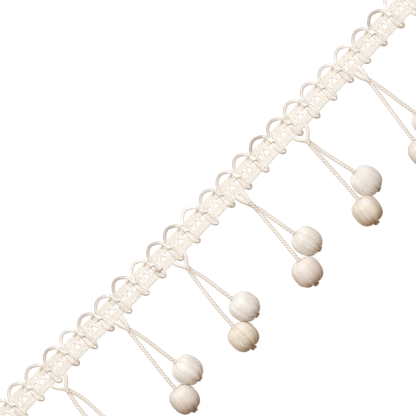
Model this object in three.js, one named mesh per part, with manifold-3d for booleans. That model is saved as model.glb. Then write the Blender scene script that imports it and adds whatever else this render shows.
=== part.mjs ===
// Beaded fringe trim: a cut length that lies on its back, face up.
// Millimetres. +X runs along the trim, +Y points from the beads to the scallops, +Z up.
// The origin lies on the floor, under the middle of the trim's box.

import * as THREE from "three";
import { mergeVertices } from "three/addons/utils/BufferGeometryUtils.js";
import Module from "manifold-3d";

const wasm = await Module();
wasm.setup();

// Repeats along the trim
const PITCH = 8.38; // from one gimp bar to the next
const BARS = 28;
const LENGTH = BARS * PITCH;
const BARS_PER_HANGER = 3.5; // so every second hanger stands under a bar
const FIRST_HANGER = -12; // in pitches from the middle of the trim
const BOW_RADIUS = 4050; // the trim lies in this slight curve, its ends towards the scallops

// Woven heading, measured from its middle line
const BAND_WIDTH = 2.75;
const LATTICE_WIDTH = 1.5; // open strip between the two bands
const BLOCK_HEIGHT = 1.6; // ribbed stretch between two bars
const GROUND_HEIGHT = 0.6; // thin stretch under a bar
const BLOCK_EDGE = 0.25; // run of a block's sloping end
const TROUGH_HALF = 1.55; // half of the stretch that a bar lies in
const LATTICE_THREAD = { width: 0.55, low: 0.1, high: 0.5, tuck: 0.4 };
const HEADING_HALF = LATTICE_WIDTH / 2 + BAND_WIDTH;

// Wrapped gimp cord
const GIMP_RADIUS = 0.55;
const GIMP_SIDES = 5;
const STRAND_OFFSET = 0.61; // of each strand of a bar from the bar's middle
const BAR_HEIGHT = 1.47; // centre of the cord over the ground
const LOOP_HEIGHT = 0.98; // centre of the cord at the ends of its loops
const STRAND_INSET = 0.2; // a strand's upper end, inside the heading's edge
const STRAND_FOOT = 1.2; // a strand's lower end, inside the heading's edge
const SCALLOP_RISE = 6.15; // of its crown over the heading's middle line
const PICOT_RADIUS = 0.7;
const PICOT_REACH = 0.55; // of the picot's centre past the heading's edge
const PICOT_STEPS = 4;

// The hand of the weaver: how far, and how fast along the trim, bars and scallops stray
const BAR_STRAY = { reach: 0.2, quick: 2.1, slow: 0.7 };
const SCALLOP_STRAY = { reach: 0.3, quick: 2.7 };

// Hanger loops, necks and bead cords
const LEG_RADIUS = 0.46;
const LEG_HEIGHT = 0.72;
const LEG_START = 4.25; // below the heading's middle line, clear of the band
const NECK_START = 7.0;
const NECK_RADIUS = 0.84;
const NECK_HEIGHT = 0.95;
const NECK_STEP = 1;
const NECK_TURN = Math.PI / 6;
const NECK_OVERLAP = 0.3; // of the loop's legs into the neck
const CORD_LONG_RADIUS = 0.56; // the section is a rhombus, so that its twist shows
const CORD_SHORT_RADIUS = 0.4;
const CORD_STEP = 1.8;
const CORD_TURN = Math.PI / 3; // twist from one step to the next
const CORD_OFFSET = 0.48; // of each cord from the neck's middle
const CORD_ROOT = 0.6; // length of a cord inside the neck
const CORD_LEAVING = { out: 1.3, down: 6, up: 0.6 }; // the way a cord leaves the neck
const CORD_ARRIVING = 6; // straight run before the bead
const KNOT_RADIUS = 0.95;

// Thread-wrapped beads
const BEAD_RADIUS = 4.87;
const BEAD_HALF = 4.75; // from the middle to either end
const BEAD_SQUARENESS = 2.2; // exponent of the outline: 2 is an ellipse, more is squarer
const BEAD_RINGS = 7;
const BEAD_END = THREE.MathUtils.degToRad(74); // where the outline turns in to the bore
const BEAD_SIDES = 14;
const BORE_RADIUS = 0.9;
const BORE_DIMPLE = 0.5; // depth of the hollow at either end of the bore
const FLAT_SPOT = 0.08; // depth of the flat on which a bead rests
const BEAD_HEIGHT = BEAD_RADIUS * Math.cos(Math.PI / BEAD_SIDES) - FLAT_SPOT;
const KNOT_DROP = 5.15; // of the knot's centre below the bead's middle

// One row for each hanger. along: shift from even spacing. left and right: feet of the loop's legs.
// neck: where the two cords part, below the heading's middle line. lean: of the neck towards +X.
// For the bead on the short and on the long cord, across: from the hanger, drop: below the heading,
// swing: its knot's turn towards +X, lift: its cord's entry tipped up, both in degrees.
const HANGER_TABLE = [
  {
    along: 0, left: -1.8, right: 1.8, neck: 9.8, lean: 0,
    short: { across: 4.0, drop: 31.6, swing: 10, lift: 6 },
    long: { across: -3.6, drop: 38.4, swing: -6, lift: 6 },
  },
  {
    along: -0.4, left: -2.45, right: 3.6, neck: 9.8, lean: 0.2,
    short: { across: 4.4, drop: 32.2, swing: 10, lift: 5 },
    long: { across: -3.5, drop: 38.8, swing: -8, lift: 5 },
  },
  {
    along: -0.2, left: -1.8, right: 1.8, neck: 9.9, lean: 0,
    short: { across: 3.95, drop: 32.4, swing: 12, lift: 5 },
    long: { across: -3.95, drop: 38.7, swing: -3, lift: 4 },
  },
  {
    along: -0.5, left: -2.45, right: 3.6, neck: 10.2, lean: 0,
    short: { across: 3.75, drop: 31.2, swing: 14, lift: 3 },
    long: { across: -3.85, drop: 38.0, swing: 0, lift: 3 },
  },
  {
    along: 0.4, left: -1.8, right: 1.8, neck: 12.6, lean: 0.55,
    short: { across: 4.3, drop: 30.9, swing: 12, lift: 10 },
    long: { across: -3.1, drop: 38.3, swing: -12, lift: 9 },
  },
  {
    along: 0, left: -2.45, right: 3.6, neck: 9.6, lean: -0.1,
    short: { across: 4.1, drop: 31.5, swing: 6, lift: 9 },
    long: { across: -3.15, drop: 38.6, swing: -8, lift: 5 },
  },
  {
    along: -0.3, left: -1.8, right: 1.8, neck: 10.0, lean: 0.3,
    short: { across: 3.8, drop: 32.6, swing: 10, lift: 6 },
    long: { across: -4.5, drop: 38.7, swing: -5, lift: 6 },
  },
  {
    along: 0, left: -2.45, right: 3.6, neck: 9.8, lean: 0,
    short: { across: 4.0, drop: 31.6, swing: 9, lift: 6 },
    long: { across: -3.6, drop: 38.4, swing: -7, lift: 5 },
  },
];

const yarn = (color, roughness) =>
  new THREE.MeshStandardMaterial({ color, roughness, metalness: 0 });
const WOVEN_COTTON = yarn("#f3ebdf", 0.85);
const RAYON_GIMP = yarn("#eee5d8", 0.45);
const TWISTED_COTTON = yarn("#eadfce", 0.8);
const PALE_THREAD = yarn("#ece6dd", 0.55);
const BEIGE_THREAD = yarn("#e3d5c0", 0.55);

const bow = (x) => (x * x) / (2 * BOW_RADIUS);

// A closed geometry as a solid that can be joined or cut.
function solidOf(geometry) {
  const bare = new THREE.BufferGeometry();
  const loose = geometry.index ? geometry.toNonIndexed() : geometry;
  bare.setAttribute("position", loose.getAttribute("position"));
  const merged = mergeVertices(bare, 1e-4);
  return new wasm.Manifold(
    new wasm.Mesh({
      numProp: 3,
      vertProperties: new Float32Array(merged.attributes.position.array),
      triVerts: new Uint32Array(merged.index.array),
    }),
  );
}

function geometryOf(solid) {
  const mesh = solid.getMesh();
  const geometry = new THREE.BufferGeometry();
  geometry.setAttribute("position", new THREE.BufferAttribute(mesh.vertProperties, 3));
  geometry.setIndex(new THREE.BufferAttribute(mesh.triVerts, 1));
  geometry.computeVertexNormals();
  return geometry;
}

const joined = (geometries) => {
  const solids = geometries.map(solidOf);
  return geometryOf(solids.slice(1).reduce((whole, next) => whole.add(next), solids[0]));
};

// Moves each point of a straight geometry to where the bowed trim carries it.
function layInBow(geometry) {
  const position = geometry.getAttribute("position");
  for (let i = 0; i < position.count; i += 1) {
    position.setY(i, position.getY(i) + bow(position.getX(i)));
  }
  return geometry;
}

function piece(name, geometry, material) {
  const mesh = new THREE.Mesh(geometry, material);
  mesh.name = name;
  return mesh;
}

// A yarn's path through hand-set stations, whose section turns by twist from each to the next.
class YarnPath extends THREE.Curve {
  constructor(stations, twist = 0) {
    super();
    this.stations = stations;
    this.twist = twist;
  }

  getPoint(t, target = new THREE.Vector3()) {
    const last = this.stations.length - 1;
    const at = Math.min(Math.floor(t * last + 1e-6), last - 1);
    return target.lerpVectors(this.stations[at], this.stations[at + 1], t * last - at);
  }

  getPointAt(u, target) {
    return this.getPoint(u, target);
  }

  getTangentAt(u, target = new THREE.Vector3()) {
    const last = this.stations.length - 1;
    const at = Math.round(u * last);
    const before = this.stations[Math.max(at - 1, 0)];
    const after = this.stations[Math.min(at + 1, last)];
    return target.subVectors(after, before).normalize();
  }

  computeFrenetFrames(segments) {
    const up = new THREE.Vector3(0, 0, 1);
    const tangents = [];
    const normals = [];
    const binormals = [];
    for (let i = 0; i <= segments; i += 1) {
      const tangent = this.getTangentAt(i / segments);
      const side = new THREE.Vector3().crossVectors(up, tangent).normalize();
      side.applyAxisAngle(tangent, this.twist * i);
      tangents.push(tangent);
      normals.push(side);
      binormals.push(new THREE.Vector3().crossVectors(tangent, side));
    }
    return { tangents, normals, binormals };
  }
}

// A closed polygon section with the given half widths.
function section(sides, across, high) {
  const corners = [];
  for (let i = 0; i < sides; i += 1) {
    const angle = (i / sides) * 2 * Math.PI;
    corners.push(new THREE.Vector2(across * Math.cos(angle), high * Math.sin(angle)));
  }
  return new THREE.Shape(corners);
}

function yarnTube(stations, shape, twist = 0) {
  const extrudePath = new YarnPath(stations, twist);
  return new THREE.ExtrudeGeometry(shape, {
    steps: stations.length - 1,
    extrudePath,
    bevelEnabled: false,
  });
}

const barPlace = (i) =>
  (i - (BARS - 1) / 2) * PITCH +
  BAR_STRAY.reach * Math.sin(BAR_STRAY.quick * i) * Math.cos(BAR_STRAY.slow * i);

// Along a band: where it is as high as a block, and where it is thin under a bar.
function bandStations() {
  const stations = [{ x: -LENGTH / 2, height: BLOCK_HEIGHT }];
  for (let i = 0; i < BARS; i += 1) {
    const left = barPlace(i) - TROUGH_HALF;
    const right = barPlace(i) + TROUGH_HALF;
    stations.push(
      { x: left - BLOCK_EDGE, height: BLOCK_HEIGHT },
      { x: left, height: GROUND_HEIGHT },
      { x: right, height: GROUND_HEIGHT },
      { x: right + BLOCK_EDGE, height: BLOCK_HEIGHT },
    );
  }
  stations.push({ x: LENGTH / 2, height: BLOCK_HEIGHT });
  return stations;
}

// One band: a box with a segment for each station, whose points are moved to the band's outline.
function bandGeometry(middle) {
  const stations = bandStations();
  const last = stations.length - 1;
  const band = new THREE.BoxGeometry(1, BAND_WIDTH, 1, last, 1, 1);
  const position = band.getAttribute("position");
  for (let i = 0; i < position.count; i += 1) {
    const { x, height } = stations[Math.round((position.getX(i) + 0.5) * last)];
    const y = position.getY(i) + middle + bow(x);
    position.setXYZ(i, x, y, position.getZ(i) > 0 ? height : 0);
  }
  return band;
}

// One slanting lattice thread from the lower band to the upper one.
function latticeThread(footX, headX) {
  const reach = LATTICE_WIDTH / 2 + LATTICE_THREAD.tuck;
  const half = LATTICE_THREAD.width / 2;
  const outline = new THREE.Shape([
    new THREE.Vector2(footX - half, -reach),
    new THREE.Vector2(footX + half, -reach),
    new THREE.Vector2(headX + half, reach),
    new THREE.Vector2(headX - half, reach),
  ]);
  const depth = LATTICE_THREAD.high - LATTICE_THREAD.low;
  const thread = new THREE.ExtrudeGeometry(outline, { depth, bevelEnabled: false });
  thread.translate(0, 0, LATTICE_THREAD.low);
  return layInBow(thread);
}

function headingGeometry() {
  const bandMiddle = (LATTICE_WIDTH + BAND_WIDTH) / 2;
  const pieces = [bandGeometry(bandMiddle), bandGeometry(-bandMiddle)];
  for (let i = 0; i < BARS - 1; i += 1) {
    const left = barPlace(i) + TROUGH_HALF;
    const right = barPlace(i + 1) - TROUGH_HALF;
    const middle = (left + right) / 2;
    pieces.push(latticeThread(left, middle - LATTICE_THREAD.width));
    pieces.push(latticeThread(right, middle + LATTICE_THREAD.width));
  }
  return joined(pieces);
}

// The gimp's stations over one bar: down its left strand, round the picot and up its right strand.
function barStations(x) {
  const top = HEADING_HALF - STRAND_INSET;
  const foot = STRAND_FOOT - HEADING_HALF;
  const turn = -HEADING_HALF - PICOT_REACH;
  const stations = [
    [x - STRAND_OFFSET, top, BAR_HEIGHT],
    [x - STRAND_OFFSET, foot, BAR_HEIGHT],
  ];
  for (let i = 0; i <= PICOT_STEPS; i += 1) {
    const angle = Math.PI * (1 + i / PICOT_STEPS);
    const height = THREE.MathUtils.lerp(LOOP_HEIGHT, BAR_HEIGHT, Math.abs(Math.cos(angle)));
    stations.push([
      x + PICOT_RADIUS * Math.cos(angle),
      turn + PICOT_RADIUS * Math.sin(angle),
      height,
    ]);
  }
  stations.push([x + STRAND_OFFSET, foot, BAR_HEIGHT]);
  stations.push([x + STRAND_OFFSET, top, BAR_HEIGHT]);
  return stations;
}

// The scallop from one bar to the next. It springs upright from the left bar, and it comes down
// slanting to a sharp turn over the right bar. run: share of the way along; rise: of its height.
const SCALLOP_TABLE = [
  { run: 0.02, rise: 0.34, sink: 0.55 },
  { run: 0.15, rise: 0.78, sink: 0.85 },
  { run: 0.4, rise: 1.0, sink: 1.0 },
  { run: 0.66, rise: 0.86, sink: 0.95 },
  { run: 0.86, rise: 0.52, sink: 0.7 },
  { run: 0.97, rise: 0.26, sink: 0.35 },
];

function scallopStations(i) {
  const from = barPlace(i) + STRAND_OFFSET;
  const to = barPlace(i + 1) - STRAND_OFFSET;
  const stray = SCALLOP_STRAY.reach * Math.sin(SCALLOP_STRAY.quick * i);
  const height = SCALLOP_RISE - HEADING_HALF + stray;
  return SCALLOP_TABLE.map(({ run, rise, sink }) => [
    from + run * (to - from),
    HEADING_HALF + rise * height,
    BAR_HEIGHT + sink * (LOOP_HEIGHT - BAR_HEIGHT),
  ]);
}

function gimpGeometry() {
  const stations = [];
  for (let i = 0; i < BARS; i += 1) {
    stations.push(...barStations(barPlace(i)));
    if (i < BARS - 1) {
      stations.push(...scallopStations(i));
    }
  }
  const points = stations.map(([x, y, z]) => new THREE.Vector3(x, y + bow(x), z));
  return yarnTube(points, section(GIMP_SIDES, GIMP_RADIUS, GIMP_RADIUS));
}

// Where a bead lies, and the way from its middle to its cord's entry, in the hanger's frame.
function beadPose({ across, drop, swing, lift }) {
  const turn = new THREE.Euler(
    THREE.MathUtils.degToRad(lift),
    0,
    THREE.MathUtils.degToRad(swing),
    "ZXY",
  );
  const middle = new THREE.Vector3(across, -drop, BEAD_HEIGHT);
  const entry = new THREE.Vector3(0, 1, 0).applyEuler(turn);
  return { turn, middle, entry };
}

function beadGeometry(pose) {
  const rim = BEAD_HALF - BORE_DIMPLE;
  const power = 2 / BEAD_SQUARENESS;
  const outline = [new THREE.Vector2(BORE_RADIUS, -rim)];
  for (let i = 0; i < BEAD_RINGS; i += 1) {
    const angle = THREE.MathUtils.lerp(-BEAD_END, BEAD_END, i / (BEAD_RINGS - 1));
    const up = Math.sign(angle) * Math.abs(Math.sin(angle)) ** power;
    outline.push(
      new THREE.Vector2(BEAD_RADIUS * Math.cos(angle) ** power, BEAD_HALF * up),
    );
  }
  outline.push(new THREE.Vector2(BORE_RADIUS, rim), outline[0].clone());
  const bead = new THREE.LatheGeometry(outline, BEAD_SIDES, Math.PI / BEAD_SIDES);
  bead.applyQuaternion(new THREE.Quaternion().setFromEuler(pose.turn));
  bead.translate(pose.middle.x, pose.middle.y, pose.middle.z);
  const side = 4 * BEAD_RADIUS;
  const floor = new THREE.BoxGeometry(side, side, side);
  floor.translate(pose.middle.x, pose.middle.y, -side / 2);
  return geometryOf(solidOf(bead).subtract(solidOf(floor)));
}

// A cord from the neck to its bead, through the bore and into the knot.
function cordGeometry(side, { neck, lean }, pose) {
  const start = new THREE.Vector3(lean + side * CORD_OFFSET, CORD_ROOT - neck, NECK_HEIGHT);
  const leaving = new THREE.Vector3(
    side * CORD_LEAVING.out,
    -CORD_LEAVING.down,
    CORD_LEAVING.up,
  );
  const at = (reach) => pose.middle.clone().addScaledVector(pose.entry, reach);
  const curve = new THREE.CubicBezierCurve3(
    start,
    leaving.add(start),
    at(BEAD_HALF + CORD_ARRIVING),
    at(BEAD_HALF),
  );
  const steps = Math.round(curve.getLength() / CORD_STEP);
  const stations = [...curve.getSpacedPoints(steps), at(0), at(-KNOT_DROP)];
  const shape = section(4, CORD_LONG_RADIUS, CORD_SHORT_RADIUS);
  return yarnTube(stations, shape, CORD_TURN);
}

function knotGeometry(pose) {
  const knot = new THREE.SphereGeometry(KNOT_RADIUS, 6, 4);
  const place = pose.middle.clone().addScaledVector(pose.entry, -KNOT_DROP);
  return knot.translate(place.x, place.y, place.z);
}

// The loop under the heading: two legs that meet in the neck.
function legGeometry(footX) {
  const foot = new THREE.Vector3(footX, -LEG_START, LEG_HEIGHT);
  const tip = new THREE.Vector3(0, -NECK_START - NECK_OVERLAP, NECK_HEIGHT);
  return yarnTube([foot, tip], section(4, LEG_RADIUS, LEG_RADIUS));
}

function neckGeometry({ neck, lean }) {
  const steps = Math.round((neck - NECK_START) / NECK_STEP);
  const top = new THREE.Vector3(0, -NECK_START, NECK_HEIGHT);
  const end = new THREE.Vector3(lean, -neck, NECK_HEIGHT);
  const stations = new THREE.LineCurve3(top, end).getPoints(steps);
  return yarnTube(stations, section(4, NECK_RADIUS, NECK_RADIUS), NECK_TURN);
}

function fringeGeometry(row, short, long) {
  return joined([
    neckGeometry(row),
    legGeometry(row.left),
    legGeometry(row.right),
    cordGeometry(1, row, short),
    cordGeometry(-1, row, long),
    knotGeometry(short),
    knotGeometry(long),
  ]);
}

function hangerGroup(row, j) {
  const hanger = new THREE.Group();
  const x = (FIRST_HANGER + j * BARS_PER_HANGER) * PITCH + row.along;
  hanger.position.set(x, bow(x), 0);
  const short = beadPose(row.short);
  const long = beadPose(row.long);
  hanger.add(piece(`fringe_${j + 1}`, fringeGeometry(row, short, long), TWISTED_COTTON));
  hanger.add(piece(`bead_${j + 1}_short`, beadGeometry(short), PALE_THREAD));
  hanger.add(piece(`bead_${j + 1}_long`, beadGeometry(long), BEIGE_THREAD));
  return hanger;
}

const trim = new THREE.Group();
trim.add(piece("heading", headingGeometry(), WOVEN_COTTON));
trim.add(piece("scroll_gimp", gimpGeometry(), RAYON_GIMP));
HANGER_TABLE.forEach((row, j) => trim.add(hangerGroup(row, j)));

// The middle of the trim's box comes over the origin.
const box = new THREE.Box3().setFromObject(trim, true);
const middle = box.getCenter(new THREE.Vector3());
trim.position.set(-middle.x, -middle.y, -box.min.z);

const part = new THREE.Group();
part.add(trim);

export default part;
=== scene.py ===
"""Looks of a beaded fringe trim: a cut length that lies on its back, face up.

Lengths are in millimetres until a mesh is made. +X runs along the trim, +Y points from the beads
to the scallops and +Z up. Points are measured from the heading's middle line and the floor.
"""

import logging
import math
from collections.abc import Iterator
from dataclasses import dataclass, field
from enum import Enum
from functools import partial
from typing import NamedTuple

import bpy
import numpy as np
from mathutils import Matrix, Vector
from numpy.typing import NDArray


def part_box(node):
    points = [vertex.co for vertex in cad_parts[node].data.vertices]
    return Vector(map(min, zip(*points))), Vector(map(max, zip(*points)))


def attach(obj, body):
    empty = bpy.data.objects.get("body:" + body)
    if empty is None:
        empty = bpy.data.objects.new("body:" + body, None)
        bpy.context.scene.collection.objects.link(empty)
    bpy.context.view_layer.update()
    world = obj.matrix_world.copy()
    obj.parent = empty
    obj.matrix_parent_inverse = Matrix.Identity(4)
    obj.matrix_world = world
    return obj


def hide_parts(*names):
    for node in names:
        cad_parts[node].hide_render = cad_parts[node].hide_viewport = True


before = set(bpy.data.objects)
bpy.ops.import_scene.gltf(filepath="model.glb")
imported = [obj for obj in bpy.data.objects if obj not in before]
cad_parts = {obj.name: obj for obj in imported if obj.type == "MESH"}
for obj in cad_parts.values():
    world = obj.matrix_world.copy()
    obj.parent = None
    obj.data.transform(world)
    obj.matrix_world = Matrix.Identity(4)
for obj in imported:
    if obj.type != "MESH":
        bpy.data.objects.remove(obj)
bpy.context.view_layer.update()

Array = NDArray[np.float64]
LOG = logging.getLogger("fringe_trim")
METRE = 0.001  # one millimetre in metres
FULL_TURN = 2 * math.pi
UP = np.array([0.0, 0.0, 1.0])
FLOOR_GAP = 0.02  # of the lowest threads over the floor
FIBRE_SHIFT = 50.0  # range in which the yarns' fibre patterns are shifted
THREAD_CORNERS = 6  # of a fine thread's section
YARN_CORNERS = 8  # of a stouter yarn's section


class Twist(Enum):
    """Hand of a twisted cord, by the slant of its plies when it hangs down."""

    S = -1
    Z = 1


class CordEnd(Enum):
    """Which of a hanger's two cords: its side of the hanger is the value."""

    SHORT = 1
    LONG = -1


def linear(hex_colour: str) -> tuple[float, float, float, float]:
    """Turns an sRGB hex colour to linear RGBA.

    Args:
        hex_colour: Colour such as "#f4ecdf".

    Returns:
        Red, green, blue and an alpha of one.
    """
    channels = [int(hex_colour[i : i + 2], 16) / 255 for i in (1, 3, 5)]
    red, green, blue = (
        c / 12.92 if c <= 0.04045 else ((c + 0.055) / 1.055) ** 2.4 for c in channels
    )
    return red, green, blue, 1.0


def add_node(
    tree: bpy.types.NodeTree,
    kind: str,
    settings: dict[str | int, object] | None = None,
    links: dict[str | int, bpy.types.NodeSocket] | None = None,
) -> bpy.types.Node:
    """Adds a node with its settings and links.

    Args:
        tree: Node tree that takes the node.
        kind: Blender's name of the node.
        settings: Values by the node's own property, or by the name or place of an input.
        links: Sockets that feed the inputs, by name or place.

    Returns:
        The new node.
    """
    node = tree.nodes.new(kind)
    for key, value in (settings or {}).items():
        if isinstance(key, str) and hasattr(node, key):
            setattr(node, key, value)
        else:
            node.inputs[key].default_value = value
    for key, socket in (links or {}).items():
        tree.links.new(socket, node.inputs[key])
    return node


def unit(vectors: Array) -> Array:
    """Gives vectors a length of one."""
    return vectors / np.linalg.norm(vectors, axis=-1, keepdims=True)


def tangents(path: Array, closed: bool = False) -> Array:
    """Directions along a path.

    Args:
        path: Points in order, one a row.
        closed: Whether the last point leads on to the first.

    Returns:
        One unit vector for each point.
    """
    if closed:
        return unit(np.roll(path, -1, axis=0) - np.roll(path, 1, axis=0))
    return unit(np.gradient(path, axis=0))


def carried_up(path: Array, first: Array) -> Array:
    """Carries a direction along a path without letting it turn about the path.

    Args:
        path: Points in order.
        first: Direction at the first point, roughly across the path.

    Returns:
        One unit vector across the path for each point.
    """
    ways = tangents(path)
    ups = np.empty_like(path)
    last = first
    for i, way in enumerate(ways):
        last = last - way * np.dot(last, way)
        last = last / np.linalg.norm(last)
        ups[i] = last
    return ups


def smooth(stations: Array, per_span: int) -> Array:
    """Leads a smooth curve through stations.

    Args:
        stations: Points that the curve passes, in order. Columns after the third ride along.
        per_span: Points of the curve from each station to the next.

    Returns:
        Points of the curve.
    """
    spans = np.linalg.norm(np.diff(stations[:, :3], axis=0), axis=1)
    at = np.concatenate([[0.0], np.cumsum(spans)])
    slopes = np.gradient(stations, at, axis=0)
    share = np.arange(per_span)[:, None] / per_span
    keep, take = 2 * share**3 - 3 * share**2 + 1, 3 * share**2 - 2 * share**3
    leave, arrive = share**3 - 2 * share**2 + share, share**3 - share**2
    parts = [
        keep * stations[i] + leave * spans[i] * slopes[i]
        + take * stations[i + 1] + arrive * spans[i] * slopes[i + 1]
        for i in range(len(spans))
    ]
    return np.concatenate([*parts, stations[-1:]])


def paced(path: Array, step: float) -> Array:
    """Spaces points evenly along a path.

    Args:
        path: Points in order. Columns after the third ride along.
        step: Distance wanted from each new point to the next.

    Returns:
        New points along the same path.
    """
    spans = np.linalg.norm(np.diff(path[:, :3], axis=0), axis=1)
    at = np.concatenate([[0.0], np.cumsum(spans)])
    wanted = np.linspace(0.0, at[-1], max(2, round(at[-1] / step) + 1))
    return np.stack([np.interp(wanted, at, column) for column in path.T], axis=-1)


def relaxed(path: Array, times: int) -> Array:
    """Rounds the corners of an evenly spaced path.

    Args:
        path: Points in order.
        times: How often each point is drawn towards its neighbours.

    Returns:
        The rounded path.
    """
    for _ in range(times):
        inner = (path[:-2] + 2 * path[1:-1] + path[2:]) / 4
        path = np.concatenate([path[:1], inner, path[-1:]])
    return path


def oval(sides: int, across: float, high: float) -> Array:
    """Section of a yarn, from its underside round.

    Args:
        sides: Corners of the section.
        across: Half of its width.
        high: Half of its height.

    Returns:
        Corners as (across, up).
    """
    angle = np.arange(sides) / sides * FULL_TURN - math.pi / 2
    return np.stack([across * np.cos(angle), high * np.sin(angle)], axis=-1)


def ease(low: float, high: float, value: Array) -> Array:
    """Rises softly from 0 at low to 1 at high."""
    share = np.clip((value - low) / (high - low), 0.0, 1.0)
    return share * share * (3 - 2 * share)


def fibre_shift(rng: np.random.Generator) -> float:
    """Draws the shift of a yarn's fibre pattern."""
    return rng.uniform(0, FIBRE_SHIFT)


@dataclass(frozen=True)
class Layout:
    """Where the repeats of the trim fall.

    Attributes:
        middle_line: Y of the heading's middle line in the part's frame.
        pitch: From one gimp bar to the next.
        bars: Number of gimp bars.
        bars_per_hanger: Spacing of the hangers, in pitches.
        first_hanger: Place of the first hanger, in pitches from the trim's middle.
        bow_radius: Radius of the slight curve in which the trim lies.
        stray: How far, and how fast along the trim, the bars stray.
    """

    middle_line: float
    pitch: float = 8.38
    bars: int = 28
    bars_per_hanger: float = 3.5
    first_hanger: float = -12.0
    bow_radius: float = 4050.0
    stray: tuple[float, float, float] = (0.2, 2.1, 0.7)

    @property
    def half_length(self) -> float:
        """Half of the trim's length."""
        return self.bars * self.pitch / 2

    def bar(self, i: int) -> float:
        """X of a gimp bar, with its stray.

        Args:
            i: Number of the bar, from -X.

        Returns:
            Distance from the trim's middle.
        """
        reach, quick, slow = self.stray
        stray = reach * math.sin(quick * i) * math.cos(slow * i)
        return (i - (self.bars - 1) / 2) * self.pitch + stray

    def at_bar(self, i: int) -> Array:
        """Shift of a point and its lightness from a bar's middle to the trim's."""
        return np.array([self.bar(i), 0.0, 0.0, 0.0])

    def hanger(self, j: int) -> float:
        """X of a hanger before its own shift."""
        return (self.first_hanger + j * self.bars_per_hanger) * self.pitch

    def bow(self, x: Array) -> Array:
        """How far the curve of the trim carries a point towards +Y."""
        return x * x / (2 * self.bow_radius)

    def placed(self, points: Array) -> Array:
        """Moves points of the straight trim to the part's frame, in metres.

        Args:
            points: Points of the straight trim, in millimetres.

        Returns:
            The points in the part's frame.
        """
        moved = points.copy()
        moved[..., 1] += self.bow(points[..., 0]) + self.middle_line
        return moved * METRE


@dataclass(frozen=True)
class YarnFinish:
    """Surface of a spun or wrapped yarn.

    The yarn's own coordinates are millimetres round and along it, so the fibres follow the yarn.

    Attributes:
        name: Material and how its surface was made.
        light: Colour of the fibres that catch the light.
        dark: Colour deep between the fibres.
        roughness: Mean roughness.
        fibre: Width and length of a bundle of fibres. Drawn coarser than the real 0.02 mm, to show.
        relief: Height of the fibres.
        mottle: Size of the slow drift of the dye.
        sheen: Weight of the soft edge light that loose fibre ends give.
        ior: Index of refraction of the fibre.
        streak: How far the lightness of neighbouring threads differs.
        groove_shade: How much darker the furrows between the threads of a bead are painted, as
        painted shade.
        tip: How much darker a bead's threads are painted towards its knot, as painted shade.
        stand: How high the threads of a bead stand, as a share of its form's ridge.
        fibre_weight: How far the fibres carry the lightness.
        drift_weight: How far the drift of the dye carries it.
        tones: Lightness, with both of these, at which the colour is all dark and all light.
        gloss: How far the fibres carry the roughness to either side of its mean.
    """

    name: str
    light: str
    dark: str
    roughness: float
    fibre: tuple[float, float] = (0.12, 1.6)
    relief: float = 0.04
    mottle: float = 6.0
    sheen: float = 0.15
    ior: float = 1.53
    streak: float = 0.08
    groove_shade: float = 0.25
    tip: float = 0.22
    stand: float = 1.0
    fibre_weight: float = 0.7
    drift_weight: float = 0.5
    tones: tuple[float, float] = (0.6, 1.6)
    gloss: float = 0.1

    def material(self) -> bpy.types.Material:
        """Builds the material: fibre streaks, drift of the dye, relief and gloss.

        Returns:
            The new material.
        """
        made = bpy.data.materials.new(self.name)
        made.use_nodes = True
        made.node_tree.nodes.clear()
        node = partial(add_node, made.node_tree)
        width, length = self.fibre
        darkest, lightest = self.tones
        yarn = node("ShaderNodeAttribute", {"attribute_name": "yarn"})
        tone = node("ShaderNodeAttribute", {"attribute_name": "tone"})
        place = node("ShaderNodeTexCoord")
        along = node(
            "ShaderNodeMapping",
            {"Scale": (1 / width, 1 / length, 1.0)},
            {"Vector": yarn.outputs["Vector"]},
        )
        fibre = node(
            "ShaderNodeTexNoise",
            {"Scale": 1.0, "Detail": 3.0, "Roughness": 0.6},
            {"Vector": along.outputs["Vector"]},
        )
        drift = node(
            "ShaderNodeTexNoise",
            {"Scale": 1 / (self.mottle * METRE), "Detail": 2.0},
            {"Vector": place.outputs["Object"]},
        )
        streaked = node(
            "ShaderNodeMath",
            {"operation": "MULTIPLY_ADD", 1: self.fibre_weight},
            {0: fibre.outputs["Fac"], 2: tone.outputs["Fac"]},
        )
        drifted = node(
            "ShaderNodeMath",
            {"operation": "MULTIPLY_ADD", 1: self.drift_weight},
            {0: drift.outputs["Fac"], 2: streaked.outputs["Value"]},
        )
        shade = node(
            "ShaderNodeMapRange",
            {"From Min": darkest, "From Max": lightest},
            {"Value": drifted.outputs["Value"]},
        )
        colour = node(
            "ShaderNodeMix",
            {"data_type": "RGBA", 6: linear(self.dark), 7: linear(self.light)},
            {0: shade.outputs["Result"]},
        )
        gloss = node(
            "ShaderNodeMapRange",
            {"To Min": self.roughness + self.gloss, "To Max": self.roughness - self.gloss},
            {"Value": fibre.outputs["Fac"]},
        )
        relief = node(
            "ShaderNodeBump",
            {"Strength": 0.6, "Distance": self.relief * METRE},
            {"Height": fibre.outputs["Fac"]},
        )
        surface = node(
            "ShaderNodeBsdfPrincipled",
            {"IOR": self.ior, "Sheen Weight": self.sheen, "Sheen Roughness": 0.5},
            {
                "Base Color": colour.outputs[2],
                "Roughness": gloss.outputs["Result"],
                "Normal": relief.outputs["Normal"],
            },
        )
        node("ShaderNodeOutputMaterial", links={"Surface": surface.outputs["BSDF"]})
        return made


# Mercerised cotton in a rep band: bright ivory ribs, soft gloss, painted shade in the furrows.
WOVEN_COTTON = YarnFinish("mercerised_cotton_weave", "#fffaf2", "#f1e7d9", 0.65)
# The same cotton as a binding thread: ivory, and painted brown as painted shade where it dives in.
BINDER_COTTON = YarnFinish("cotton_binding_thread", "#f8f1e6", "#c3af96", 0.7)
# Viscose filament wound close round a core: smooth, a silky gleam along the cord.
WRAPPED_VISCOSE = YarnFinish(
    "viscose_wrapped_gimp", "#fefaf2", "#c5b6a7", 0.45, fibre=(0.3, 0.14), relief=0.02, sheen=0.2
)
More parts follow.
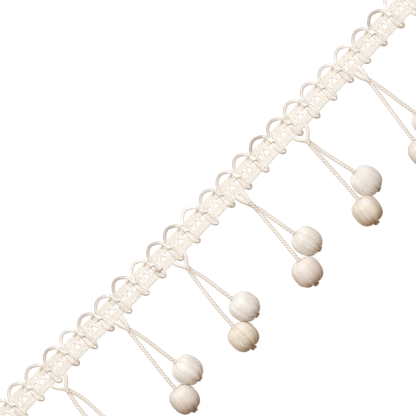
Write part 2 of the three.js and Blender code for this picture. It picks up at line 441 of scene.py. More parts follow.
# Carded cotton, two plies laid up in S twist: cream, matt, with fibres along each ply.
TWISTED_COTTON = YarnFinish("twisted_cotton_cord", "#fbf5eb", "#ddd1c2", 0.75, fibre=(0.1, 1.2))
# The same cord pulled hard into a knot under a bead: dense, and painted brown as painted shade.
KNOTTED_COTTON = YarnFinish("knotted_cotton_cord", "#dac7b0", "#a88d74", 0.8, fibre=(0.1, 1.2))
# Spun viscose thread laid lengthwise over a turned bead: soft gleam across the threads.
IVORY_THREAD = YarnFinish("ivory_viscose_thread", "#f6f1e8", "#d2c2ae", 0.5, fibre=(0.08, 2.5))
# The same thread with a touch of rose.
ROSE_WHITE_THREAD = YarnFinish(
    "rose_white_viscose_thread", "#f6f1ea", "#d4c5b5", 0.5, fibre=(0.08, 2.5)
)
# The same thread, dyed rose beige and laid softly: short, blurred streaks; painted shade by the
# knot.
ROSE_BEIGE_THREAD = YarnFinish(
    "rose_beige_viscose_thread",
    "#f3e9de",
    "#b89e88",
    0.5,
    fibre=(0.16, 1.1),
    streak=0.06,
    groove_shade=0.12,
    tip=0.66,
    stand=0.6,
)
# The same thread, dyed straw: crisp threads that differ more; painted shade by the knot.
STRAW_THREAD = YarnFinish(
    "straw_viscose_thread", "#f5ebdb", "#b89e78", 0.5, fibre=(0.08, 2.5), streak=0.13, tip=0.54
)


class Skein:
    """Gathers yarns as arrays, and turns them into one mesh piece."""

    def __init__(self, layout: Layout) -> None:
        """Starts an empty skein.

        Args:
            layout: Where the repeats of its trim fall.
        """
        self.layout = layout
        self._points: list[Array] = []
        self._yarn: list[Array] = []
        self._tone: list[Array] = []
        self._faces: list[list[int]] = []
        self._walls: list[tuple[Array, Array]] = []
        self._count = 0
        self.press(FLOOR_GAP * UP, UP)

    def press(self, point: Array, free: Array) -> None:
        """Sets a plane against which yarn that is added later is pressed flat.

        Args:
            point: Point of the plane.
            free: Unit direction of the side where the yarn stays.
        """
        self._walls.append((point, free))

    def add_grid(
        self, grid: Array, tone: Array | float, closed: bool = False, seed: float = 0.0
    ) -> None:
        """Adds a tube of points, with caps on its ends unless it is closed.

        Args:
            grid: Points by station along the tube and corner round it.
            tone: Lightness from 0 to 1, for the tube, each station or each point.
            closed: Whether the last station leads on to the first.
            seed: Shift of the fibre pattern, so that yarns differ.
        """
        for point, free in self._walls:
            grid = grid - np.minimum((grid - point) @ free, 0.0)[..., None] * free
        stations, corners = grid.shape[:2]
        index = np.arange(stations * corners).reshape(stations, corners) + self._count
        ahead = np.roll(index, -1, axis=0) if closed else index[1:]
        here = index if closed else index[:-1]
        here_next, ahead_next = np.roll(here, -1, axis=1), np.roll(ahead, -1, axis=1)
        quads = np.stack([here, here_next, ahead_next, ahead], axis=-1)
        self._faces.extend(quads.reshape(-1, 4).tolist())
        if not closed:
            self._faces.append(index[0, ::-1].tolist())
            self._faces.append(index[-1].tolist())
        steps = np.linalg.norm(np.diff(grid, axis=0), axis=2).mean(axis=1)
        along = np.concatenate([[0.0], np.cumsum(steps)])
        girth = np.linalg.norm(grid - np.roll(grid, 1, axis=1), axis=2).sum(axis=1)
        yarn = np.empty((stations, corners, 3))
        yarn[..., 0] = girth.max() * np.arange(corners) / corners
        yarn[..., 1] = along[:, None]
        yarn[..., 2] = seed
        tones = np.asarray(tone, float)
        tones = tones[:, None] if tones.ndim == 1 else tones
        self._points.append(grid.reshape(-1, 3))
        self._yarn.append(yarn.reshape(-1, 3))
        self._tone.append(np.broadcast_to(tones, (stations, corners)).reshape(-1))
        self._count += stations * corners

    def add(
        self,
        path: Array,
        up: Array,
        section: Array,
        tone: Array | float = 0.5,
        closed: bool = False,
        seed: float = 0.0,
        painted_side_shade: Array | None = None,
    ) -> None:
        """Adds one yarn along a path.

        Args:
            path: Points of the yarn's middle.
            up: Direction of the section's height, one for all or one for each point.
            section: Corners as (across, up), one section for all or one for each point.
            tone: Lightness from 0 to 1.
            closed: Whether the yarn is a ring.
            seed: Shift of the fibre pattern.
            painted_side_shade: Painted light and shade on the yarn's sides: way towards which it is
            painted lighter, for each point. Its length is how much.
        """
        way = tangents(path, closed)
        side = unit(np.cross(np.broadcast_to(up, path.shape), way))
        over = np.cross(way, side)
        outline = np.broadcast_to(section, (len(path), *section.shape[-2:]))
        out = outline[..., :1] * side[:, None] + outline[..., 1:] * over[:, None]
        tones = np.broadcast_to(tone, len(path))[:, None]
        # Painted light and shade: each side of the yarn is lighter or darker by the way it faces.
        if painted_side_shade is not None:
            tones = tones + (unit(out) * painted_side_shade[:, None]).sum(axis=-1)
        self.add_grid(path[:, None] + out, tones, closed, seed)

    def piece(
        self, name: str, material: bpy.types.Material, replaces: tuple[str, ...] = ()
    ) -> bpy.types.Object:
        """Makes the mesh object, and ties it to the frame.

        Args:
            name: Name of the piece.
            material: Finish of the piece.
            replaces: CAD nodes that the piece stands for.

        Returns:
            The new object.
        """
        points = self.layout.placed(np.concatenate(self._points))
        mesh = bpy.data.meshes.new(name)
        mesh.from_pydata(points.tolist(), [], self._faces, shade_flat=False)
        tone = mesh.attributes.new("tone", "FLOAT", "POINT")
        tone.data.foreach_set("value", np.concatenate(self._tone).astype(np.float32))
        yarn = mesh.attributes.new("yarn", "FLOAT_VECTOR", "POINT")
        yarn.data.foreach_set("vector", np.concatenate(self._yarn).astype(np.float32).ravel())
        mesh.materials.append(material)
        made = bpy.data.objects.new(name, mesh)
        bpy.context.scene.collection.objects.link(made)
        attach(made, "root")
        if replaces:
            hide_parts(*replaces)
        LOG.info("%s: %d faces", name, len(mesh.polygons))
        return made


@dataclass(frozen=True)
class Band:
    """One rep band of the heading.

    Attributes:
        middle: Y of its middle.
        width: Its width.
        before: From the last rib before a gimp bar to the bar's middle.
        after: From the bar's middle to the first rib after it.
        swell: Height of the lengthwise threads in a bar's middle.
        fade: How much darker the band is painted just before a bar, as painted shade.
    """

    middle: float
    width: float
    before: float
    after: float
    swell: float
    fade: float


UPPER_BAND = Band(middle=1.95, width=2.9, before=1.08, after=0.98, swell=0.8, fade=0.45)
LOWER_BAND = Band(middle=-2.4, width=2.76, before=1.34, after=1.34, swell=1.1, fade=0.0)


@dataclass(frozen=True)
class ZigzagLattice:
    """The slanting threads that hold the two bands apart.

    Attributes:
        foot: From a bar's middle to the foot of a thread.
        head: From the repeat's middle to the head of a thread.
        stray: How far the threads stray along the trim.
        tuck: How far their ends reach in under the bands.
        heights: Height of their middles at the foot, halfway and at the head.
        halves: Half of their width and of their thickness.
        tone: Their lightness.
    """

    foot: float = 2.3
    head: float = 0.85
    stray: float = 0.12
    tuck: float = 0.4
    heights: tuple[float, float, float] = (1.0, 1.25, 1.3)
    halves: tuple[float, float] = (0.56, 0.14)
    tone: float = 0.7

    def lace(self, skein: Skein, rng: np.random.Generator) -> None:
        """Adds the threads, two to a repeat.

        Args:
            skein: Skein that takes them.
            rng: Source of their strays.
        """
        layout = skein.layout
        low = LOWER_BAND.middle + LOWER_BAND.width / 2 - self.tuck
        high = UPPER_BAND.middle - UPPER_BAND.width / 2 + self.tuck
        across = (low, (low + high) / 2, high)
        section = oval(YARN_CORNERS, *self.halves)
        for i in range(layout.bars - 1):
            left, right = layout.bar(i) + self.foot, layout.bar(i + 1) - self.foot
            middle = (left + right) / 2 + rng.normal(0, self.stray)
            for foot, head in ((left, middle - self.head), (right, middle + self.head)):
                along = (foot, (foot + head) / 2, head)
                path = smooth(np.column_stack([along, across, self.heights]), 4)
                skein.add(path, UP, section, self.tone, seed=fibre_shift(rng))


@dataclass(frozen=True)
class BarFilling:
    """The crosswise threads that fill each bar, between the gimp's strands.

    Attributes:
        way: Their way, as place across the heading and height.
        shifts: Their places along the trim, from the bar's middle.
        halves: Half of their width and of their thickness.
        tone: Their lightness, low as painted shade between the gimp's strands.
        streaks: How far it differs from thread to thread, and along a thread.
    """

    way: tuple[tuple[float, float], ...] = (
        (0.7, 1.0), (0.25, 1.2), (-0.15, 1.25), (-1.2, 1.25), (-3.4, 1.2), (-4.4, 1.1), (-4.9, 0.9)
    )
    shifts: tuple[float, float, float] = (-0.3, 0.0, 0.3)
    halves: tuple[float, float] = (0.22, 0.16)
    tone: float = -0.05
    streaks: tuple[float, float] = (0.15, 0.35)

    def lay(self, skein: Skein, rng: np.random.Generator) -> None:
        """Adds the threads of every bar.

        Args:
            skein: Skein that takes them.
            rng: Source of their strays.
        """
        way = np.array([(0.0, across, height) for across, height in self.way])
        section = oval(THREAD_CORNERS, *self.halves)
        apart, along = self.streaks
        for i in range(skein.layout.bars):
            for shift in self.shifts:
                path = smooth(way, 3)
                path[:, 0] += skein.layout.bar(i) + shift
                tone = self.tone + rng.normal(0, apart)
                tone = tone + rng.normal(0, along, len(path))
                skein.add(path, UP, section, tone, seed=fibre_shift(rng))


@dataclass
class WovenHeading:
    """Two rep bands, held apart by a zigzag lattice.

    A rib is a stout thread that goes round its band. Flat lengthwise threads are drawn in between
    the ribs, and dive under the gimp at each bar.

    Attributes:
        layout: Where the repeats fall.
        rib_height: Top of a rib.
        rib_pitch: From one rib to the next.
        rib_depth: Half of a rib's thickness, outwards.
        rib_share: Half of a rib's width, as a share of the ribs' pitch.
        rib_tone: Lightness of the ribs.
        rib_streak: How far the lightness of neighbouring ribs differs.
        rib_lean: How far the ends of a rib lean along the trim.
        stray: How far the threads' places and heights stray.
        end_drop: How much lower a block's first and last rib lies.
        end_shade: How much darker it is painted, as painted shade at the block's ends.
        bar_shade_run: Ribs over which the painted shade before a bar spreads.
        ring_power: Squareness of a rib's way round the band.
        ring_steps: Points of a rib's way round the band.
        warps: Lengthwise threads on the face of each band.
        warp_half: Half of a lengthwise thread's thickness.
        warp_share: Half of a lengthwise thread's width, as a share of the threads' spacing.
        warp_sink: How far below the ribs' tops the lengthwise threads are drawn in.
        warp_dive: From a block's end to where the lengthwise threads are down under the bar.
        warp_tones: Lightness of the lengthwise threads over a rib, and in a furrow, where they are
        painted darker as painted shade.
        warp_streak: How far the lightness of neighbouring lengthwise threads differs.
        selvedge: Width of both edges beyond the middles of the outermost threads.
        across_shade: Painted light and shade across the band: how much paler it is painted towards
        the beads, and darker towards the scallops.
        edge_painted_shade: How much darker both edges are painted, as painted shade.
        furrow: How far the lengthwise threads sink between two ribs.
        under_bar: Height of the lengthwise threads under a gimp bar.
        lattice: The slanting threads between the bands.
        filling: The crosswise threads in the bars.
    """

    layout: Layout
    rib_height: float = 1.5
    rib_pitch: float = 0.68
    rib_depth: float = 0.22
    rib_share: float = 0.51
    rib_tone: float = 0.75
    rib_streak: float = 0.06
    rib_lean: float = 0.03
    stray: float = 0.02
    end_drop: float = 0.12
    end_shade: float = 0.3
    bar_shade_run: float = 2.0
    ring_power: float = 8.0
    ring_steps: int = 16
    warps: int = 7
    warp_half: float = 0.08
    warp_share: float = 0.45
    warp_sink: float = 0.12
    warp_dive: float = 0.4
    warp_tones: tuple[float, float] = (0.7, 0.35)
    warp_streak: float = 0.02
    selvedge: float = 0.3
    across_shade: float = 0.5
    edge_painted_shade: float = 0.5
    furrow: float = 0.24
    under_bar: float = 0.7
    lattice: ZigzagLattice = ZigzagLattice()
    filling: BarFilling = BarFilling()
    _rng: np.random.Generator = field(default_factory=lambda: np.random.default_rng(11))

    def blocks(self, band: Band) -> Iterator[Array]:
        """Shares the ribs out over the blocks between the bars, from -X to +X.

        Args:
            band: The ribs' band.

        Yields:
            Places of one block's ribs along the trim.
        """
        last = self.layout.bars
        for i in range(last + 1):
            start = self.layout.bar(i - 1) + band.after if i else -self.layout.half_length
            end = self.layout.bar(i) - band.before if i < last else self.layout.half_length
            count = max(1, round((end - start) / self.rib_pitch))
            yield start + (np.arange(count) + 0.5) * (end - start) / count

    def edge_shade(self, band: Band, off: Array | float) -> Array | float:
        """How much darker a band is painted at a distance from its middle: painted light and shade.
        """
        edge = off / (band.width / 2)
        return self.across_shade * edge + self.edge_painted_shade * edge**4

    def fade(self, band: Band, ribs: Array, x: float) -> float:
        """How much darker a block's last ribs are painted just before a bar, as painted shade."""
        return band.fade * max(0.0, 1 - (ribs[-1] - x) / (self.bar_shade_run * self.rib_pitch))

    def rib(self, skein: Skein, x: float, band: Band, height: float, tone: float) -> None:
        """Adds one rib: a thread that goes round the band.

        Args:
            skein: Skein that takes the rib.
            x: Place along the trim.
            band: The rib's band.
            height: Top of the rib.
            tone: Lightness of the rib in the band's middle.
        """
        half = band.width / 2 - self.rib_depth
        rise = height / 2 - self.rib_depth
        angle = np.arange(self.ring_steps) / self.ring_steps * FULL_TURN
        across, up = np.cos(angle), np.sin(angle)
        power = 2 / self.ring_power
        way_out = np.stack([np.zeros_like(angle), across, up], axis=-1)
        lean = self._rng.normal(0, self.rib_lean)
        path = np.stack(
            [
                x + lean * across,
                band.middle + half * np.sign(across) * np.abs(across) ** power,
                height / 2 + rise * np.sign(up) * np.abs(up) ** power,
            ],
            axis=-1,
        )
        section = oval(THREAD_CORNERS, self.rib_pitch * self.rib_share, self.rib_depth)
        tones = tone - self.edge_shade(band, path[:, 1] - band.middle)
        skein.add(path, way_out, section, tones, closed=True, seed=fibre_shift(self._rng))

    def weft(self, finish: bpy.types.Material) -> bpy.types.Object:
        """Builds the ribs of both bands, the lattice between them and the filling of the bars.

        Args:
            finish: Material of the threads.

        Returns:
            The piece.
        """
        skein = Skein(self.layout)
        for band in (UPPER_BAND, LOWER_BAND):
            for ribs in self.blocks(band):
                for k, x in enumerate(ribs):
                    edge = k in (0, len(ribs) - 1)
                    height = self.rib_height - self.end_drop * edge
                    height += self._rng.normal(0, self.stray)
                    # Painted shade at the block's ends and just before a bar.
                    tone = self.rib_tone - self.end_shade * edge - self.fade(band, ribs, x)
                    tone += self._rng.normal(0, self.rib_streak)
                    self.rib(skein, x + self._rng.normal(0, self.stray), band, height, tone)
        self.lattice.lace(skein, self._rng)
        self.filling.lay(skein, self._rng)
        return skein.piece("heading_weave", finish, ("heading",))

    def warp(self, finish: bpy.types.Material) -> bpy.types.Object:
        """Builds the lengthwise threads of both bands.

        Args:
            finish: Material of the threads.

        Returns:
            The piece.
        """
        skein = Skein(self.layout)
        for band in (UPPER_BAND, LOWER_BAND):
            spacing = (band.width - self.selvedge) / (self.warps - 1)
            for w in range(self.warps):
                off = (w - (self.warps - 1) / 2) * spacing
                share = abs(off) / (band.width / 2)
                crown = (1 - share**self.ring_power) ** (1 / self.ring_power)
                top = self.rib_height / 2 * (1 + crown) - self.warp_sink
                path = self.warp_path(band, off, top)
                section = oval(THREAD_CORNERS, spacing * self.warp_share, self.warp_half)
                tone = path[:, 3] + self._rng.normal(0, self.warp_streak)
                tone = tone - self.edge_shade(band, off)
                skein.add(path[:, :3], UP, section, tone, seed=fibre_shift(self._rng))
        return skein.piece("heading_warp", finish)

    def warp_path(self, band: Band, off: float, top: float) -> Array:
        """Way of one lengthwise thread, over the ribs and under the bars.

        Args:
            band: The thread's band.
            off: Distance from the band's middle.
            top: Height of the ribs there.

        Returns:
            Points of the thread, each with its lightness.
        """
        stations = []
        y = band.middle + off
        crest, hollow = self.warp_tones
        for b, ribs in enumerate(self.blocks(band)):
            for k, x in enumerate(ribs):
                stray = self._rng.normal(0, self.stray)
                edge = k in (0, len(ribs) - 1)
                # Painted shade just before a bar.
                dim = self.fade(band, ribs, x)
                stations.append([x, y, top + stray - self.end_drop * edge, crest - dim])
                if k + 1 < len(ribs):
                    between = (x + ribs[k + 1]) / 2
                    # Painted shade in the furrow between two ribs.
                    stations.append([between, y, top - self.furrow + stray, hollow])
            if b < self.layout.bars:
                x = self.layout.bar(b)
                down, rise = x + self.warp_dive - band.before, x + band.after - self.warp_dive
                stations.append([down, y, self.under_bar, crest])
                stations.append([x, y, band.swell, crest])
                stations.append([rise, y, self.under_bar, crest])
        return smooth(np.array(stations), 2)


class GimpPoint(NamedTuple):
    """Point on the middle line of the gimp, or of a stitch over it, near a bar.

    Attributes:
        along: From the bar's middle.
        across: From the heading's middle line.
        height: Over the floor.
        tone: Lightness there.
    """

    along: float
    across: float
    height: float
    tone: float


# Down the bar, over the cord's own later run, round the picot and up again.
# The darker tones round the picot are painted shade on its underside.
BAR_WAY = (
    GimpPoint(-0.84, 3.5, 1.25, 0.8),
    GimpPoint(-0.62, 2.65, 1.18, 0.79),
    GimpPoint(-0.56, 1.95, 1.18, 0.79),
    GimpPoint(-0.54, 1.45, 1.36, 0.75),
    GimpPoint(-0.22, 1.0, 1.56, 0.76),
    GimpPoint(0.42, 0.58, 1.54, 0.74),
    GimpPoint(0.76, -0.15, 1.48, 0.78),
    GimpPoint(0.83, -1.3, 1.42, 0.76),
    GimpPoint(0.84, -3.2, 1.42, 0.76),
    GimpPoint(0.86, -4.1, 1.3, 0.75),
    GimpPoint(0.66, -4.72, 1.15, 0.57),
    GimpPoint(0.2, -4.97, 1.05, 0.23),
    GimpPoint(-0.36, -4.74, 1.15, 0.21),
    GimpPoint(-0.75, -4.1, 1.3, 0.5),
    GimpPoint(-0.84, -3.2, 1.42, 0.72),
    GimpPoint(-0.84, -1.2, 1.4, 0.74),
    GimpPoint(-0.8, -0.2, 1.34, 0.8),
    GimpPoint(-0.62, 0.35, 1.08, 0.76),
    GimpPoint(-0.15, 0.82, 0.66, 0.7),
    GimpPoint(0.26, 1.4, 1.0, 0.75),
    GimpPoint(0.43, 2.1, 1.18, 0.77),
    GimpPoint(0.54, 2.95, 1.18, 0.77),
)
# Up round the open scallop, from the same bar. The crown strays from repeat to repeat.
SCALLOP_WAY = (
    GimpPoint(0.8, 3.55, 1.15, 0.71),
    GimpPoint(1.3, 4.26, 1.05, 0.51),
    GimpPoint(2.1, 5.03, 0.95, 0.44),
    GimpPoint(3.0, 5.6, 0.88, 0.39),
    GimpPoint(3.9, 5.86, 0.85, 0.34),
    GimpPoint(4.8, 5.79, 0.88, 0.34),
    GimpPoint(5.5, 5.51, 0.95, 0.39),
    GimpPoint(6.1, 5.16, 1.0, 0.46),
    GimpPoint(6.7, 4.78, 1.08, 0.64),
    GimpPoint(7.2, 4.26, 1.18, 0.81),
)


class Stitch(NamedTuple):
    """A binding thread.

    Attributes:
        half: Half of its width.
        high: Half of its thickness.
        way: Points that it passes.
    """

    half: float
    high: float
    way: tuple[GimpPoint, ...]


# The fine thread that holds a crossing down; its tan is partly painted shade in the crease.
CREASE = Stitch(0.2, 0.14, (
    GimpPoint(-0.9, 1.05, 0.8, 0.8),
    GimpPoint(-1.16, 0.92, 1.3, 0.8),
    GimpPoint(-0.92, 0.86, 1.68, 0.75),
    GimpPoint(-0.4, 0.78, 1.98, 0.7),
    GimpPoint(0.15, 0.6, 2.04, 0.7),
    GimpPoint(0.62, 0.3, 1.98, 0.7),
    GimpPoint(1.02, -0.02, 1.8, 0.75),
    GimpPoint(1.32, -0.2, 1.4, 0.8),
    GimpPoint(1.1, -0.25, 0.9, 0.8),
))
# The stitch that ties a scallop's end to the band; brown by the band as painted shade.
CATCH = Stitch(0.36, 0.2, (
    GimpPoint(-2.6, 2.6, 1.2, 0.6),
    GimpPoint(-2.1, 2.82, 1.5, 0.52),
    GimpPoint(-1.6, 3.0, 1.54, 0.5),
    GimpPoint(-1.2, 3.28, 1.7, 0.75),
    GimpPoint(-1.02, 3.7, 1.82, 0.9),
    GimpPoint(-0.92, 4.1, 1.6, 1.0),
    GimpPoint(-0.85, 4.4, 1.1, 0.9),
    GimpPoint(-0.95, 4.3, 0.5, 0.7),
))
# The one stitch that hangs slack and has gone brown.
SLACK = Stitch(0.24, 0.18, (
    GimpPoint(-0.62, -0.7, 1.5, 0.2),
    GimpPoint(-0.5, -1.1, 2.08, 0.0),
    GimpPoint(-0.3, -1.7, 2.1, -0.3),
    GimpPoint(0.1, -2.15, 2.04, -0.4),
    GimpPoint(0.6, -2.35, 2.1, -0.4),
    GimpPoint(1.1, -2.35, 2.08, -0.4),
    GimpPoint(1.4, -2.2, 1.8, -0.2),
    GimpPoint(1.5, -2.1, 1.2, 0.0),
))


@dataclass
class ScrollGimp:
    """One wrapped cord laid back and forth over the heading.

    Attributes:
        layout: Where the repeats fall.
        radius: Half of the cord's thickness.
        corners: Corners of its section.
        wrap: From one turn of the wrapping to the next. Drawn coarser than 0.15 mm, to show.
        ridge: Height of the wrapping's turns.
        wrap_tone: How far the lightness of the turns differs.
        blotch: How far the lightness strays along a bar.
        crown_stray: How far the scallops' rise strays, as a share.
        arch_shift: How far the scallops stray along the trim.
        arch_tone: How far the scallops' lightness strays.
        picot_stray: How far the picots' reach strays.
        picot_tone: How far the picots' lightness strays.
        picot_run: Where these set in, and hold in full, across the heading.
        picot_pull: How much thinner the cord is pulled round a picot, as a share.
        pull_run: Where that sets in, and holds in full.
        painted_side_shade: Painted light and shade round the cord: way towards which the wrapping
            is painted lighter. Its length is how much.
        arch_side_shade: How much stronger that is on the scallops, as a share.
        arch_run: Where that sets in, and holds in full.
        picot_side_shade: The painted light and shade on the picots, with painted shade on their
            outer rims.
        picot_shade_run: Where that sets in, and holds in full.
        stitch_tone: How far the stitches' lightness strays.
        slack_bar: The bar that the slack stitch hangs over.
    """

    layout: Layout
    radius: float = 0.56
    corners: int = 9
    wrap: float = 0.24
    ridge: float = 0.008
    wrap_tone: float = 0.06
    blotch: float = 0.1
    crown_stray: float = 0.1116
    arch_shift: float = 0.12
    arch_tone: float = 0.28
    picot_stray: float = 0.12
    picot_tone: float = 0.26
    picot_run: tuple[float, float] = (-3.2, -4.6)
    picot_pull: float = 0.24
    pull_run: tuple[float, float] = (-3.8, -4.7)
    painted_side_shade: tuple[float, float, float] = (0.14, -0.28, 0.0)
    arch_side_shade: float = 0.5
    arch_run: tuple[float, float] = (4.0, 5.2)
    picot_side_shade: tuple[float, float, float] = (0.45, 0.85, 0.0)
    picot_shade_run: tuple[float, float] = (-3.6, -4.6)
    stitch_tone: float = 0.12
    slack_bar: int = 11
    _rng: np.random.Generator = field(default_factory=lambda: np.random.default_rng(23))

    def stations(self) -> Iterator[Array]:
        """Leads the cord over bar and scallop in turn, from -X to +X.

        Yields:
            Points that the cord passes on a bar or scallop, each with its lightness.
        """
        for i in range(self.layout.bars):
            bar = self.layout.at_bar(i)
            way = np.array(BAR_WAY)
            picot = ease(*self.picot_run, way[:, 1])
            way[:, 1] += self._rng.normal(0, self.picot_stray) * picot
            way[:, 3] += self._rng.normal(0, self.picot_tone) * picot
            way[:, 3] += self._rng.normal(0, self.blotch, len(way))
            yield way + bar
            if i < self.layout.bars - 1:
                run = (self.layout.bar(i + 1) - self.layout.bar(i)) / self.layout.pitch
                arch = np.array(SCALLOP_WAY)
                rise = 1 + self._rng.normal(0, self.crown_stray)
                arch[:, 1] = arch[0, 1] + (arch[:, 1] - arch[0, 1]) * rise
                arch[:, 0] = arch[:, 0] * run + self._rng.normal(0, self.arch_shift)
                arch[:, 3] += self._rng.normal(0, self.arch_tone)
                yield arch + bar

    def cord(self, finish: bpy.types.Material) -> bpy.types.Object:
        """Builds the wrapped cord.

        Args:
            finish: Material of the wrapping.

        Returns:
            The piece.
        """
        path = smooth(np.concatenate(list(self.stations())), 8)
        path = relaxed(paced(path, self.wrap / 2), 8)
        swell = np.where(np.arange(len(path)) % 2, -self.ridge, self.ridge)
        thick = self.radius * (1 - self.picot_pull * ease(*self.pull_run, path[:, 1])) + swell
        section = oval(self.corners, 1.0, 1.0) * thick[:, None, None]
        tone = path[:, 3] + self._rng.normal(0, self.wrap_tone, len(path))
        # Painted light and shade round the cord: lighter on the scallops' inner sides, darker on
        # their outer sides and on the picots' outer rims.
        reach = path[:, 1:2]
        picot = ease(*self.picot_shade_run, reach)
        painted_side_shade = np.array(self.painted_side_shade) * (1 + self.arch_side_shade * ease(*self.arch_run, reach) - picot)
        painted_side_shade = painted_side_shade + np.array(self.picot_side_shade) * picot
        skein = Skein(self.layout)
        skein.add(path[:, :3], carried_up(path[:, :3], UP), section, tone, painted_side_shade=painted_side_shade)
        return skein.piece("gimp_cord", finish, ("scroll_gimp",))

    def binders(self, finish: bpy.types.Material) -> bpy.types.Object:
        """Builds the thread over each crossing, the stitch at each scallop's end and the slack one.

        Args:
            finish: Material of the threads.

        Returns:
            The piece.
        """
        skein = Skein(self.layout)
        for i in range(self.layout.bars):
            for stitch in (CREASE, CATCH) if i else (CREASE,):
                path = smooth(np.array(stitch.way) + self.layout.at_bar(i), 5)
                path[:, 3] += self._rng.normal(0, self.stitch_tone)
                section = oval(YARN_CORNERS, stitch.half, stitch.high)
                seed = fibre_shift(self._rng)
                skein.add(path[:, :3], UP, section, path[:, 3], seed=seed)
        loose = smooth(np.array(SLACK.way) + self.layout.at_bar(self.slack_bar), 5)
        section = oval(YARN_CORNERS, SLACK.half, SLACK.high)
        skein.add(loose[:, :3], UP, section, loose[:, 3], seed=seed)
        return skein.piece("gimp_binders", finish)


@dataclass(frozen=True)
class BeadPlace:
    """Where a bead lies under its hanger.

    Attributes:
        across: From the hanger, along the trim.
        drop: Below the heading's middle line.
        swing: Turn of its knot towards +X, in degrees.
        lift: How far its cord's entry is tipped up, in degrees.
        spread: How far outwards its cord sets off from the neck.
        finish: Thread that it is wrapped in.
        girth: Its width, as a share of its form's.
        shade: How much lighter its thread is than the finish.
    """

    across: float
    drop: float
    swing: float
    lift: float
    spread: float
    finish: YarnFinish
    girth: float = 1.0
    shade: float = 0.0

    @property
    def turn(self) -> Array:
        """Rotation from the bead's own frame, whose +Y is the cord's entry.

        Returns:
            Matrix of three rows and columns.
        """
        spin = Matrix.Rotation(math.radians(self.swing), 3, "Z")
        tip = Matrix.Rotation(math.radians(self.lift), 3, "X")
        return np.array(spin @ tip)


@dataclass(frozen=True)
class Hanger:
    """One loop under the heading, with its two cords and beads.

    Attributes:
        along: Shift from even spacing.
        left: Foot of the loop's left leg, from the hanger.
        right: Foot of the loop's right leg.
        neck: Where the two cords part, below the heading's middle line.
        lean: Of the neck towards +X.
        short: Bead on the short cord.
        long: Bead on the long cord.
        fill: How much thicker the legs of a narrow loop are at the heading, as a share.
    """

    along: float
    left: float
    right: float
    neck: float
    lean: float
    short: BeadPlace
    long: BeadPlace
    fill: float = 0.0


# Loop: along, left, right, neck and lean. Beads: across, drop, swing, lift, spread and finish.
HANGERS = (
    Hanger(0, -1.25, 0.9, 9.8, 0,
           BeadPlace(4.0, 31.6, 10, 5, 1.2, ROSE_WHITE_THREAD),
           BeadPlace(-3.6, 38.4, -6, 5, 0.8, ROSE_BEIGE_THREAD), 0.45),
    Hanger(-0.4, -2.45, 3.2, 9.8, 0.2,
           BeadPlace(3.65, 31.8, 10, 5, 2.2, IVORY_THREAD),
           BeadPlace(-3.6, 38.2, -8, 5, 2.2, STRAW_THREAD)),
    Hanger(-0.35, -1.25, 0.9, 9.9, 0,
           BeadPlace(4.1, 32.5, 10, 6, 1.7, IVORY_THREAD),
           BeadPlace(-3.63, 38.7, -4, 4, 0.8, ROSE_BEIGE_THREAD), 0.35),
    Hanger(-0.75, -2.0, 2.7, 10.2, 0,
           BeadPlace(4.05, 31.25, 11, 5, 1.8, ROSE_WHITE_THREAD),
           BeadPlace(-3.52, 38.0, -2, 3, 1.4, STRAW_THREAD)),
    Hanger(0.2, -1.25, 0.9, 12.6, 0.75,
           BeadPlace(4.38, 31.05, 12, 9, 1.0, IVORY_THREAD, 0.955),
           BeadPlace(-3.0, 38.3, -9, 7, 1.0, ROSE_BEIGE_THREAD, 1.03, 0.1), 0.5),
    Hanger(0, -2.45, 3.2, 9.6, -0.1,
           BeadPlace(4.02, 31.55, 9, 10, 0.4, ROSE_WHITE_THREAD),
           BeadPlace(-3.15, 38.7, -7, 6, 0.4, STRAW_THREAD)),
    Hanger(-0.3, -1.25, 0.9, 10.0, 0.3,
           BeadPlace(3.8, 32.6, 10, 5, 1.0, ROSE_WHITE_THREAD),
           BeadPlace(-4.5, 38.7, -5, 5, 0.7, ROSE_BEIGE_THREAD), 0.45),
    Hanger(0, -2.45, 3.2, 9.8, 0,
           BeadPlace(4.0, 31.6, 9, 5, 1.0, IVORY_THREAD),
           BeadPlace(-3.6, 38.4, -7, 5, 0.7, STRAW_THREAD)),
)


